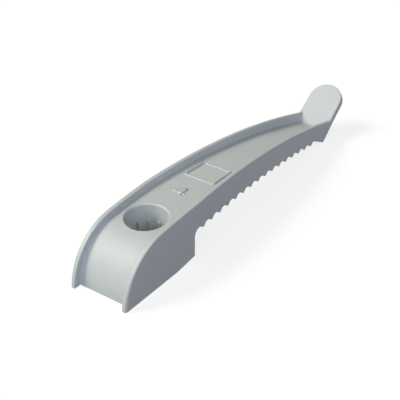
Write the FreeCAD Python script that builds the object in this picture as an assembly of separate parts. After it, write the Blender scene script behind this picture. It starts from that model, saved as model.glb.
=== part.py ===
import FreeCAD
import Part
import math
import os

Vector = FreeCAD.Vector

# One-hole cable clamp, moulded in one piece.
# Frame: the fixing hole's axis is Z, the foot stands on z = 0 and the arm runs along +X.
# Lengths are millimetres and angles are degrees.

# Plan view
foot_width = 15.0
tab_width = 9.1
taper_start = 9.0
taper_end = 72.7
side_round = 60.0

# Rims along both edges of the arm
rim_crown_x = 14.3
rim_crown_height = 13.47
rim_crown_radius = 198.0
rim_front_x = -16.55
rim_front_radius = 13.6
rim_thickness_foot = 1.15
rim_thickness_tab = 0.92
rim_round_floor = 0.55
rim_round_arm = 0.3
rim_inner_bevel = 0.12
rim_tab_blend = 1.8

# Sunk web between the rims
web_crown_x = 11.2
web_crown_height = 11.95
web_crown_radius = 200.0
web_front_x = -14.7
web_front_radius = 11.8
web_tab_blend = 1.2

# Foot
foot_rear_x = 6.95
heel_ridge_x = 0.65
heel_angle = 6.4
root_round = 1.8

# Thumb tab, measured up its back face from the floor
tab_angle = 36.7
tab_back_x = 65.9
tab_reach = 16.95
tab_thickness = 1.65

# Teeth under the arm, on an arc through their tips
tooth_crown_x = 17.3
tooth_crown_height = 6.61
tooth_arc_radius = 258.75
tooth_count = 16
tooth_first_x = 10.26
tooth_pitch = 3.315
tooth_depth = 0.76
tooth_tip_width = 0.5
tooth_lead_length = 1.1
tooth_hook_length = 0.72
tooth_round = 0.22
lip_angle = 28.2
lip_round = 0.8

# Fixing hole: a head recess over a plain bore
recess_radius = 4.72
recess_floor_z = 4.0
recess_rim_bevel = 0.25
bore_radius = 3.0
rib_count = 12
rib_turn = 4.0
rib_width = 0.6
rib_height = 0.65
rib_top_z = 7.75
rib_lead_length = 0.35

# Room for cutting solids past the faces they cut
overrun = 5.0

# Closest distance at which two points count as one
fine = 1e-4

foot_half = foot_width / 2
inner_half = foot_half - rim_thickness_foot
tab_half = tab_width / 2
up = Vector(0, 0, 1)
slope = math.radians(tab_angle)
tab_direction = Vector(math.cos(slope), 0, math.sin(slope))
tab_normal = Vector(-math.sin(slope), 0, math.cos(slope))
tab_back = Vector(tab_back_x, 0, 0)
tab_front = tab_back + tab_normal * tab_thickness
tab_front_tip = tab_front + tab_direction * tab_reach
tab_back_tip = tab_back + tab_direction * tab_reach


def line(start, end):
    return Part.LineSegment(start, end).toShape()


def lines(points):
    return [line(start, end) for start, end in zip(points, points[1:])]


def arc(centre, radius, start, end):
    middle = (start - centre) + (end - centre)
    middle.normalize()
    return Part.Arc(start, centre + middle * radius, end).toShape()


def rounded_path(corners):
    """Lines through the corners, each corner given as a point and the radius of its arc."""
    edges = []
    last = corners[0][0]
    for before, (point, radius), after in zip(corners, corners[1:], corners[2:]):
        if radius == 0:
            edges.append(line(last, point))
            last = point
            continue
        back = (before[0] - point).normalize()
        ahead = (after[0] - point).normalize()
        half_angle = back.getAngle(ahead) / 2
        reach = radius / math.tan(half_angle)
        centre = point + (back + ahead).normalize() * (radius / math.sin(half_angle))
        edges.append(line(last, point + back * reach))
        edges.append(arc(centre, radius, point + back * reach, point + ahead * reach))
        last = point + ahead * reach
    edges.append(line(last, corners[-1][0]))
    return edges


def extruded(edges, direction):
    face = Part.Face(Part.Wire(Part.__sortEdges__(edges)))
    return face.extrude(direction)


def front_centre(crown_centre, crown_radius, front, radius):
    """Centre of the arc from the floor that runs into the crown arc from inside."""
    reach = crown_radius - radius
    toward = front - crown_centre
    span = toward.Length
    toward.normalize()
    along = (reach ** 2 - radius ** 2 + span ** 2) / (2 * span)
    aside = math.sqrt(reach ** 2 - along ** 2)
    return crown_centre + toward * along + Vector(toward.z, 0, -toward.x) * aside


def tab_blend_centre(crown_centre, crown_radius, radius):
    """Centre of the hollow arc between a crown arc and the tab's front face."""
    start = tab_front + tab_normal * radius - crown_centre
    half = start.dot(tab_direction)
    climb = -half + math.sqrt(half ** 2 - start.dot(start) + (crown_radius + radius) ** 2)
    return tab_front + tab_normal * radius + tab_direction * climb


class TopLine:
    """Side view of a surface that climbs the foot and runs over the arm to the tab."""

    def __init__(self, crown_x, crown_height, crown_radius, front_x, front_radius):
        self.radius = crown_radius
        self.centre = Vector(crown_x, 0, crown_height - crown_radius)
        self.front = Vector(front_x, 0, 0)
        self.corner = tab_blend_centre(self.centre, crown_radius, 0)
        front_mid = front_centre(self.centre, crown_radius, self.front, front_radius)
        shoulder = self.centre + (front_mid - self.centre).normalize() * crown_radius
        self.edges = [arc(front_mid, front_radius, self.front, shoulder),
                      arc(self.centre, crown_radius, shoulder, self.corner)]

    def filling(self, blend, half):
        """Solid that turns the corner at the tab into a hollow arc."""
        middle = tab_blend_centre(self.centre, self.radius, blend)
        low = self.centre + (middle - self.centre).normalize() * self.radius
        high = middle - tab_normal * blend
        sunk = tab_normal * (-tab_thickness / 2)
        return across([arc(middle, blend, low, high)] + lines([high, high + sunk, low + sunk, low]), half)


rim = TopLine(rim_crown_x, rim_crown_height, rim_crown_radius, rim_front_x, rim_front_radius)
web = TopLine(web_crown_x, web_crown_height, web_crown_radius, web_front_x, web_front_radius)


def tooth_point(arc_length, rise):
    """Point under the arm: arc length from the arc's crown, and height over the tips."""
    angle = arc_length / tooth_arc_radius
    centre = Vector(tooth_crown_x, 0, tooth_crown_height - tooth_arc_radius)
    return centre + Vector(math.sin(angle), 0, math.cos(angle)) * (tooth_arc_radius + rise)


def tooth_corners(number):
    """Four corners of one tooth, from the tab's side to the foot's side."""
    middle = tooth_first_x - tooth_crown_x + number * tooth_pitch
    tip = tooth_tip_width / 2
    return [(tooth_point(middle + tip + tooth_hook_length, tooth_depth), tooth_round),
            (tooth_point(middle + tip, 0), tooth_round),
            (tooth_point(middle - tip, 0), tooth_round),
            (tooth_point(middle - tip - tooth_lead_length, tooth_depth), tooth_round)]


def under_line():
    """Side view from the tab's tip down its back, along the teeth and under the foot."""
    beyond = tooth_first_x - tooth_crown_x + tooth_count * tooth_pitch
    lip_top = tooth_point(beyond - tooth_tip_width / 2 - tooth_lead_length, tooth_depth)
    lip_slope = math.radians(-lip_angle)
    run = lip_top - tab_back
    lip_way = Vector(math.cos(lip_slope), 0, math.sin(lip_slope))
    lip_length = -run.dot(tab_normal) / lip_way.dot(tab_normal)
    corners = [(tab_back_tip, 0), (lip_top + lip_way * lip_length, lip_round), (lip_top, tooth_round)]
    for number in reversed(range(tooth_count)):
        corners += tooth_corners(number)
    root = tooth_point(foot_rear_x - tooth_crown_x, tooth_depth)
    heel = (foot_rear_x - heel_ridge_x) * math.tan(math.radians(heel_angle))
    corners += [(Vector(foot_rear_x, 0, root.z), root_round),
                (Vector(foot_rear_x, 0, heel), 0),
                (Vector(heel_ridge_x, 0, 0), 0),
                (Vector(rim_front_x, 0, 0), 0)]
    return rounded_path(corners)


def plan_prism(foot_side, tab_side):
    """Tall prism of the plan outline: straight foot, tapered arm, straight tab."""
    front_x = rim_front_x - overrun
    end_x = tab_back_tip.x + overrun
    side = [(Vector(front_x, foot_side, 0), 0),
            (Vector(taper_start, foot_side, 0), side_round),
            (Vector(taper_end, tab_side, 0), side_round),
            (Vector(end_x, tab_side, 0), 0)]
    other = [(Vector(point.x, -point.y, 0), radius) for point, radius in side]
    edges = rounded_path(side) + rounded_path(other)
    edges += [line(side[0][0], other[0][0]), line(side[-1][0], other[-1][0])]
    prism = extruded(edges, up * (rim_crown_height + 2 * overrun))
    prism.translate(up * -overrun)
    return prism


def across(edges, half):
    """Slab of a side outline, reaching half to either side of the middle plane."""
    slab = extruded(edges, Vector(0, 2 * half, 0))
    slab.translate(Vector(0, -half, 0))
    return slab


def on_front_arc(edge, side):
    """Whether an edge lies on the rims' front arc, at a distance from the middle plane."""
    middle = edge.valueAt(sum(edge.ParameterRange) / 2)
    gap = rim.edges[0].distToShape(Part.Vertex(middle.x, 0, middle.z))[0]
    return gap < fine and abs(abs(middle.y) - side) < fine


def blank():
    """Solid clamp before the channel: side outline, plan outline and round tab end."""
    outline = rim.edges + lines([rim.corner, tab_front_tip, tab_back_tip]) + under_line()
    body = across(outline, foot_width).common(outer_plan)
    return body.cut(tab_end_waste())


def tab_end_waste():
    """What is cut from the tab's square end to leave a half circle."""
    centre = tab_back + tab_direction * (tab_reach - tab_half) - tab_normal * overrun
    side = Vector(0, tab_half, 0)
    far = Vector(0, tab_half + overrun, 0)
    beyond = tab_direction * (tab_half + overrun)
    end = Part.Arc(centre + side, centre + tab_direction * tab_half, centre - side).toShape()
    frame = lines([centre - side, centre - far, centre - far + beyond,
                   centre + far + beyond, centre + far, centre + side])
    return extruded([end] + frame, tab_normal * (tab_thickness + 2 * overrun))


def channel():
    """What is cut from between the rims, down to the web and the tab."""
    top = rim_crown_height + overrun
    front_x = rim_front_x - overrun
    low = web.front - up * overrun
    tab_end = tab_front + tab_direction * (tab_reach + overrun)
    corners = [web.corner, tab_end, Vector(tab_end.x, 0, top), Vector(front_x, 0, top),
               Vector(front_x, 0, low.z), low, web.front]
    return across(web.edges + lines(corners), foot_width).common(inner_plan)


def trough():
    """Clamp with its rims, web and tab, and the rims' inner edges bevelled."""
    body = blank().cut(channel())
    inner_edges = [edge for edge in body.Edges if on_front_arc(edge, inner_half)]
    body = body.makeChamfer(rim_inner_bevel, inner_edges)
    rim_corner = rim.filling(rim_tab_blend, foot_width).common(outer_plan.cut(inner_plan))
    web_corner = web.filling(web_tab_blend, foot_width).common(inner_plan)
    return body.fuse([rim_corner, web_corner]).removeSplitter().Solids[0]


def grip_rib(angle):
    """Upright three-cornered rib on the recess wall that thins out towards its top."""
    inner = recess_radius - rib_height
    outer = recess_radius + rib_height
    low = recess_floor_z - rib_height
    tip = Vector(inner, 0, low)
    plan = [tip, Vector(outer, rib_width, low), Vector(outer, -rib_width, low), tip]
    corners = [Vector(outer, 0, low), tip, Vector(inner, 0, rib_top_z - rib_lead_length),
               Vector(recess_radius, 0, rib_top_z), Vector(outer, 0, rib_top_z), Vector(outer, 0, low)]
    rib = extruded(lines(plan), up * (rib_top_z - low)).common(across(lines(corners), rib_width))
    rib.rotate(Vector(0, 0, 0), up, angle)
    return rib


def with_fixing_hole(body):
    """Head recess with grip ribs, and the plain bore under it."""
    recess = Part.makeCylinder(recess_radius, rim_crown_height, Vector(0, 0, recess_floor_z))
    body = body.cut(recess)
    mouth = [edge for edge in body.Edges if round_recess_mouth(edge)]
    body = body.makeChamfer(recess_rim_bevel, mouth)
    body = body.fuse([grip_rib(rib_turn + number * 360 / rib_count) for number in range(rib_count)])
    return body.cut(Part.makeCylinder(bore_radius, rim_crown_height))


def round_recess_mouth(edge):
    """Whether an edge goes round the recess where it opens into the web."""
    middle = edge.valueAt(sum(edge.ParameterRange) / 2)
    upright = edge.BoundBox.ZLength > recess_radius
    at_wall = abs(math.hypot(middle.x, middle.y) - recess_radius) < fine
    return at_wall and not upright and middle.z > rib_top_z


def round_rims(body):
    """Clamp with its rims' outer edges rounded, most at the floor and less along the arm."""
    document = FreeCAD.newDocument()
    sharp = document.addObject("Part::Feature", "sharp")
    sharp.Shape = body
    near, far = [number for number, edge in enumerate(body.Edges, 1) if on_front_arc(edge, foot_half)]
    rounds = document.addObject("Part::Fillet", "rounds")
    rounds.Base = sharp
    rounds.Edges = [(near, rim_round_arm, rim_round_floor), (far, rim_round_floor, rim_round_arm)]
    document.recompute()
    return rounds.Shape


outer_plan = plan_prism(foot_half, tab_half)
inner_plan = plan_prism(inner_half, tab_half - rim_thickness_tab)

os.makedirs("parts", exist_ok=True)
clamp = round_rims(with_fixing_hole(trough()).Solids[0]).Solids[0]
clamp.exportStep("parts/clamp_body.step")
print("clamp_body", "valid", clamp.isValid(), "volume", round(clamp.Volume), "mm3")
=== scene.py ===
import math
import bmesh
import bpy
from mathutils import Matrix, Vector


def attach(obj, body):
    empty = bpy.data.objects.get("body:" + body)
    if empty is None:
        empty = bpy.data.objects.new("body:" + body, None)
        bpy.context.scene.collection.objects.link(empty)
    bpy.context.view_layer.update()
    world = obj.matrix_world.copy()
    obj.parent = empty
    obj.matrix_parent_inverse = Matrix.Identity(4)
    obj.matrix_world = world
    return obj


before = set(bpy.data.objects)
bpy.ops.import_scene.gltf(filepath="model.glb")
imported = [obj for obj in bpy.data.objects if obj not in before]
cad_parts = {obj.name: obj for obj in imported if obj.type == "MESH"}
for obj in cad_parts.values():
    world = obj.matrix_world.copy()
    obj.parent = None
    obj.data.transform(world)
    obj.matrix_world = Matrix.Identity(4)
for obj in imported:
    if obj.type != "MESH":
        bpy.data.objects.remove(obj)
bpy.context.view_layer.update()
mm = 0.001
print("frame loaded:", ", ".join(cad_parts))


class Wire:
    # one output of a node; sums of wires and numbers add Math nodes
    def __init__(self, tree, socket=None):
        self.tree = tree
        self.socket = socket

    def node(self, kind, settings=None, sockets=None, out=0):
        made = self.tree.nodes.new(kind)
        for name, value in (settings or {}).items():
            setattr(made, name, value)
        for name, value in (sockets or {}).items():
            if isinstance(value, Wire):
                self.tree.links.new(value.socket, made.inputs[name])
            else:
                made.inputs[name].default_value = value
        return Wire(self.tree, made.outputs[out] if made.outputs else None)

    def sums(self, operation, first, second):
        return self.node("ShaderNodeMath", {"operation": operation}, {0: first, 1: second})

    def __add__(self, other):
        return self.sums("ADD", self, other)

    def __radd__(self, other):
        return self.sums("ADD", other, self)

    def __sub__(self, other):
        return self.sums("SUBTRACT", self, other)

    def __rsub__(self, other):
        return self.sums("SUBTRACT", other, self)

    def __mul__(self, other):
        return self.sums("MULTIPLY", self, other)

    def __rmul__(self, other):
        return self.sums("MULTIPLY", other, self)


def emptyTree(owner):
    # clears the nodes of a material or world, and gives a wire to start from
    owner.use_nodes = True
    owner.node_tree.nodes.clear()
    return Wire(owner.node_tree)


def meshFrom(name, shape):
    mesh = bpy.data.meshes.new(name)
    shape.to_mesh(mesh)
    shape.free()
    return mesh


def addObject(name, data):
    made = bpy.data.objects.new(name, data)
    bpy.context.scene.collection.objects.link(made)
    return made


def fromScreen(red, green, blue):
    # a colour as a screen shows it, 0 to 255, turned into the shader's own numbers
    shares = (red / 255, green / 255, blue / 255)
    return tuple(s / 12.92 if s < 0.04045 else ((s + 0.055) / 1.055) ** 2.4 for s in shares) + (1.0,)


# light grey moulded plastic
plasticLook = {
    "light": fromScreen(199, 204, 200),
    "dark": fromScreen(190, 195, 192),
    "mottleSize": 18 * mm,      # slow cloudiness of the resin
    "mottleShare": 0.5,         # its part in the change of colour
    "streakSize": 5 * mm,       # flow streaks along the arm
    "streakStretch": 9.0,
    "streakShare": 0.3,
    "speckSize": 0.35 * mm,     # pigment
    "speckShare": 0.2,
    "grainSize": 0.16 * mm,     # spark-eroded mould skin
    "grainDepth": 0.012 * mm,
    "grainStrength": 0.5,
    "roughness": 0.4,           # the smoothest it gets
    "grainRoughness": 0.14,     # what grain and cloudiness add to it
    "mottleRoughness": 0.06,
    "ior": 1.47,
    "edgeRadius": 0.08 * mm,    # small rounds that the solids leave out
}


def mouldedPlastic(name, look):
    material = bpy.data.materials.new(name)
    start = emptyTree(material)
    place = start.node("ShaderNodeTexCoord", out="Object")
    mottle = start.node("ShaderNodeTexNoise", {}, {
        "Vector": place, "Scale": 1 / look["mottleSize"], "Detail": 3.0, "Roughness": 0.55})
    along = start.node("ShaderNodeMapping", {}, {
        "Vector": place, "Scale": (1 / look["streakStretch"], 1.0, 1.0)})
    streak = start.node("ShaderNodeTexNoise", {}, {
        "Vector": along, "Scale": 1 / look["streakSize"], "Detail": 4.0, "Distortion": 0.6})
    speck = start.node("ShaderNodeTexNoise", {}, {
        "Vector": place, "Scale": 1 / look["speckSize"], "Detail": 2.0})
    grain = start.node("ShaderNodeTexNoise", {}, {
        "Vector": place, "Scale": 1 / look["grainSize"], "Detail": 5.0, "Roughness": 0.65})
    tone = mottle * look["mottleShare"] + streak * look["streakShare"] + speck * look["speckShare"]
    colour = start.node("ShaderNodeMix", {"data_type": "RGBA"}, {
        0: tone, 6: look["light"], 7: look["dark"]}, out=2)
    roughness = look["roughness"] + grain * look["grainRoughness"] + mottle * look["mottleRoughness"]
    softEdge = start.node("ShaderNodeBevel", {"samples": 8}, {"Radius": look["edgeRadius"]})
    skin = start.node("ShaderNodeBump", {}, {
        "Strength": look["grainStrength"], "Distance": look["grainDepth"],
        "Height": grain, "Normal": softEdge})
    shader = start.node("ShaderNodeBsdfPrincipled", {}, {
        "Base Color": colour, "Roughness": roughness, "Normal": skin, "IOR": look["ior"]})
    start.node("ShaderNodeOutputMaterial", {}, {"Surface": shader})
    return material


greyPlastic = mouldedPlastic("greyPlastic", plasticLook)
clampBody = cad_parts["clamp_body"]
clampBody.material_slots[0].material = greyPlastic
print("clamp body dressed in moulded plastic")


# arc of the sunk web in side view, which the raised marks lie on
webArc = {"crownX": 11.2 * mm, "crownHeight": 11.95 * mm, "radius": 200 * mm}

# section of a ridge: shares of its half width and of its height, up one side to its eased top
ridgeEase = [(1.0, 0.0), (0.78, 0.72), (0.6, 0.95), (0.4, 1.0)]

# least cosine that a mitre is worked out with, so that no corner runs out far
mitreLimit = 0.4


def webHeight(x):
    aside = x - webArc["crownX"]
    return webArc["crownHeight"] - webArc["radius"] + math.sqrt(webArc["radius"] ** 2 - aside ** 2)


def following(items, closed):
    # what comes after each item; on a closed line the first comes after the last
    return items[1:] + items[:1] if closed else items[1:]


def splitRuns(points, closed, step):
    # more stations along the straight runs, so that a ridge follows the web's bow
    stations = []
    for begin, end in zip(points, following(points, closed)):
        count = max(1, math.ceil((end - begin).length / step))
        stations += [begin.lerp(end, i / count) for i in range(count)]
    return stations if closed else stations + [points[-1]]


def ridgeSection(look, way):
    # width and height depend on how far the ridge runs along the arm or across it
    width, high = [a * way.x ** 2 + b * way.y ** 2 for a, b in zip(look["along"], look["across"])]
    half = width / 2
    rising = [(-half, -look["sunk"])] + [(-half * aside, high * lift) for aside, lift in ridgeEase]
    return rising + [(-aside, lift) for aside, lift in reversed(rising)]


def layRidge(shape, points, closed, look):
    # a raised line with drafted sides and an eased top, mitred at its corners
    stations = splitRuns(points, closed, look["step"])
    ways = [(end - begin).normalized() for begin, end in zip(stations, following(stations, closed))]
    rings = []
    for i, spot in enumerate(stations):
        meeting = ways[max(i - 1, 0):i + 1]     # the runs before and after this station
        if closed and i == 0:
            meeting = [ways[-1], ways[0]]
        way = sum(meeting, Vector((0.0, 0.0))).normalized()
        left = Vector((-way.y, way.x)) / max(mitreLimit, way.dot(meeting[0]))
        ring = []
        for aside, lift in ridgeSection(look, way):
            flat = spot + left * aside
            ring.append(shape.verts.new((flat.x, flat.y, webHeight(flat.x) + lift)))
        rings.append(ring)
    for ring, nextRing in zip(rings, following(rings, closed)):
        for j in range(len(ring)):
            k = (j + 1) % len(ring)
            shape.faces.new((ring[j], nextRing[j], nextRing[k], ring[k]))
    if not closed:
        shape.faces.new(rings[0])
        shape.faces.new(reversed(rings[-1]))


def finishMark(name, shape):
    bmesh.ops.recalc_face_normals(shape, faces=shape.faces)
    mesh = meshFrom(name, shape)
    mesh.materials.append(greyPlastic)
    mesh.shade_smooth()
    mark = addObject(name, mesh)
    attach(mark, "root")


# blank raised frame on the web
frameMark = {
    "low": Vector((18.45, -4.1)) * mm, "high": Vector((25.55, 3.6)) * mm,
    "corner": 0.3 * mm, "cornerSteps": 4, "sunk": 0.08 * mm, "step": 0.8 * mm,
    "along": (0.34 * mm, 0.42 * mm), "across": (0.36 * mm, 0.2 * mm),    # width and height of the runs
}


def raiseFrame(look):
    low, high, corner = look["low"], look["high"], look["corner"]
    middles = [(high.x - corner, high.y - corner, 0), (low.x + corner, high.y - corner, 90),
               (low.x + corner, low.y + corner, 180), (high.x - corner, low.y + corner, 270)]
    points = []
    for x, y, turn in middles:
        for i in range(look["cornerSteps"] + 1):
            angle = math.radians(turn + i * 90 / look["cornerSteps"])
            points.append(Vector((x + corner * math.cos(angle), y + corner * math.sin(angle))))
    shape = bmesh.new()
    layRidge(shape, points, True, look)
    finishMark("raisedFrame", shape)


# plain mould numeral, read from the foot towards the tab; strokes are shares of its height
numeralMark = {
    "centre": Vector((11.8, -0.1)) * mm, "tall": 3.2 * mm,
    "strokes": [[(0.22, 0.5), (-0.52, -0.16), (0.52, -0.16)], [(0.22, 0.5), (0.22, -0.5)]],
    "sunk": 0.08 * mm, "step": 0.8 * mm,
    "along": (0.3 * mm, 0.3 * mm), "across": (0.28 * mm, 0.2 * mm),
}


def raiseNumeral(look):
    shape = bmesh.new()
    for stroke in look["strokes"]:
        points = [look["centre"] + Vector((up, -right)) * look["tall"] for right, up in stroke]
        layRidge(shape, points, False, look)
    finishMark("raisedNumeral", shape)


raiseFrame(frameMark)
raiseNumeral(numeralMark)
print("raised marks laid on the web")


def seenRay(start):
    # 1 for what the camera looks at, straight or in a shine
    rays = [start.node("ShaderNodeLightPath", out=kind)
            for kind in ("Is Camera Ray", "Is Glossy Ray", "Is Transmission Ray")]
    return start.sums("MINIMUM", rays[0] + rays[1] + rays[2], 1.0)


# pale floor, seen as white paper with the clamp's shadow on it
floorLook = {
    "side": 8.0, "squares": 8, "drop": 0.05 * mm,
    "bounce": 0.1,                      # grey that throws light back at the clamp
    "paper": (0.95, 0.93, 0.83, 1.0),   # takes the shadow
    "shadow": 0.35,                     # the paper's share in what is seen
    "glow": 1.215,                      # strength of the rest
}


def layFloor(look):
    squares = look["squares"]
    shape = bmesh.new()
    bmesh.ops.create_grid(shape, x_segments=squares, y_segments=squares, size=look["side"] / 2)
    mesh = meshFrom("studioFloor", shape)
    material = bpy.data.materials.new("paleFloor")
    start = emptyTree(material)
    bounce = start.node("ShaderNodeBsdfDiffuse", {}, {"Color": (look["bounce"],) * 3 + (1.0,)})
    paper = start.node("ShaderNodeBsdfDiffuse", {}, {"Color": look["paper"]})
    glow = start.node("ShaderNodeEmission", {}, {
        "Color": (1.0, 1.0, 1.0, 1.0), "Strength": look["glow"]})
    white = start.node("ShaderNodeMixShader", {}, {0: look["shadow"], 1: glow, 2: paper})
    start.node("ShaderNodeOutputMaterial", {}, {
        "Surface": start.node("ShaderNodeMixShader", {}, {0: seenRay(start), 1: bounce, 2: white})})
    mesh.materials.append(material)
    floor = addObject("studioFloor", mesh)
    floor.location.z = -look["drop"]


layFloor(floorLook)

# dim room around the clamp, seen as white
roomLight = {"colour": (1.0, 1.0, 1.0, 1.0), "level": 0.01}


def lightRoom(look):
    world = bpy.data.worlds.new("studioRoom")
    start = emptyTree(world)
    dim = start.node("ShaderNodeBackground", {}, {"Color": look["colour"], "Strength": look["level"]})
    white = start.node("ShaderNodeBackground", {}, {"Color": (1.0, 1.0, 1.0, 1.0), "Strength": 1.0})
    start.node("ShaderNodeOutputWorld", {}, {
        "Surface": start.node("ShaderNodeMixShader", {}, {0: seenRay(start), 1: dim, 2: white})})
    bpy.context.scene.world = world


lightRoom(roomLight)

# soft square lamps, placed round and above the point that they aim at, in degrees
lampAim = Vector((28.0, 0.0, 6.0)) * mm
lamps = {
    "mainLamp": {"round": 126, "above": 42, "away": 2.4, "side": 1.2,
                 "watts": 49.5, "colour": (1.0, 0.976, 0.871)},
    "frontLamp": {"round": 200, "above": 20, "away": 2.4, "side": 1.7,
                  "watts": 26.3, "colour": (0.779, 0.829, 1.0)},
    "sideLamp": {"round": 250, "above": 40, "away": 2.4, "side": 1.7,
                 "watts": 17.5, "colour": (0.737, 0.777, 1.0)},
}


def hangLamp(name, look):
    data = bpy.data.lights.new(name, "AREA")
    data.shape = "SQUARE"
    data.size = look["side"]
    data.energy = look["watts"]
    data.color = look["colour"]
    turn, climb = math.radians(look["round"]), math.radians(look["above"])
    level = math.cos(climb)
    towards = Vector((math.cos(turn) * level, math.sin(turn) * level, math.sin(climb)))
    lamp = addObject(name, data)
    lamp.location = lampAim + towards * look["away"]
    lamp.rotation_mode = "QUATERNION"
    lamp.rotation_quaternion = towards.to_track_quat("Z", "Y")


for lampName, lampLook in lamps.items():
    hangLamp(lampName, lampLook)
print("floor, room light and lamps set")

cameraLook = {
    "place": Vector((-133.17, -110.47, 125.87)) * mm, "turn": (57.4816, -0.025, -54.0323),    # degrees
    "lens": 88.7, "sensor": 36.0, "nearest": 10 * mm,
}


def placeCamera(look):
    data = bpy.data.cameras.new("photoCamera")
    data.lens = look["lens"]
    data.sensor_width = look["sensor"]
    data.clip_start = look["nearest"]
    camera = addObject("photoCamera", data)
    camera.location = look["place"]
    camera.rotation_euler = [math.radians(angle) for angle in look["turn"]]
    bpy.context.scene.camera = camera


placeCamera(cameraLook)
bpy.context.scene.view_settings.view_transform = "Standard"
print("camera set")
